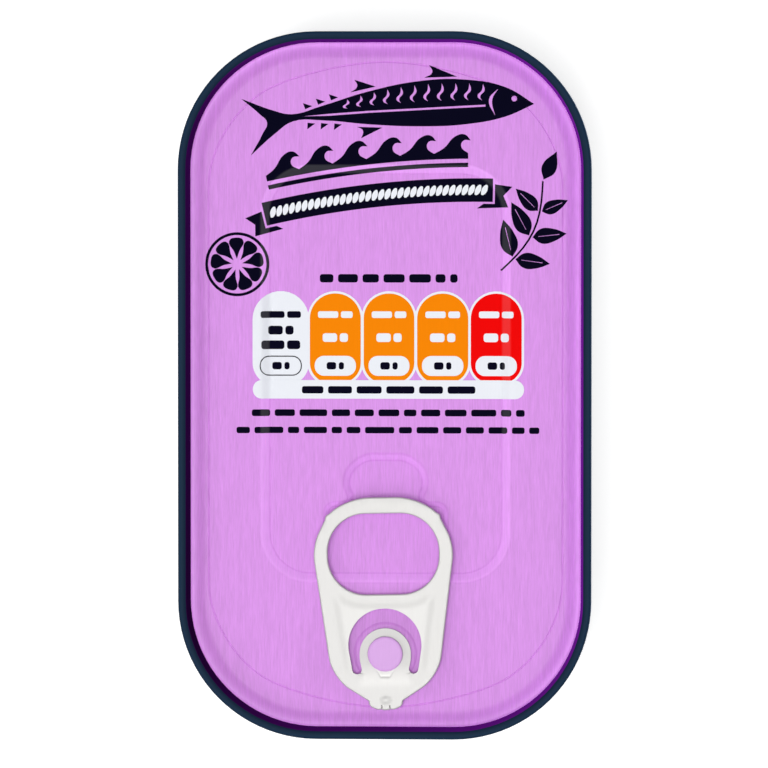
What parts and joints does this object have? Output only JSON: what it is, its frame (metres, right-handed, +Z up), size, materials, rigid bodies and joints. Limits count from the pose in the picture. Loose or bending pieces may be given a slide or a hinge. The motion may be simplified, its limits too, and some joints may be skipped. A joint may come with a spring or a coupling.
{
  "type": "fish tin",
  "caption": "Shut rectangular round-cornered fish tin, double-seamed, with a stepped full-opening lid, score line, finger well and riveted ring-pull tab.",
  "frame": {"origin": "centre of the base, on the surface that the tin rests on", "axes": "+Z up out of the lid, +Y along the tin's long side towards the end away from the tab's nose, +X across it"},
  "size_m": [0.062, 0.106, 0.0285],
  "materials": {
    "body_lacquer": "dark navy gloss lacquer on drawn aluminium",
    "lid_lacquer": "translucent lilac lacquer over finely brushed aluminium, with printed fields of navy, white, orange and red",
    "tab_metal": "bare satin aluminium"
  },
  "bodies": {
    "root": {"can_body": "body_lacquer", "lid": "lid_lacquer", "pull_tab": "tab_metal"}
  },
  "joints": []
}
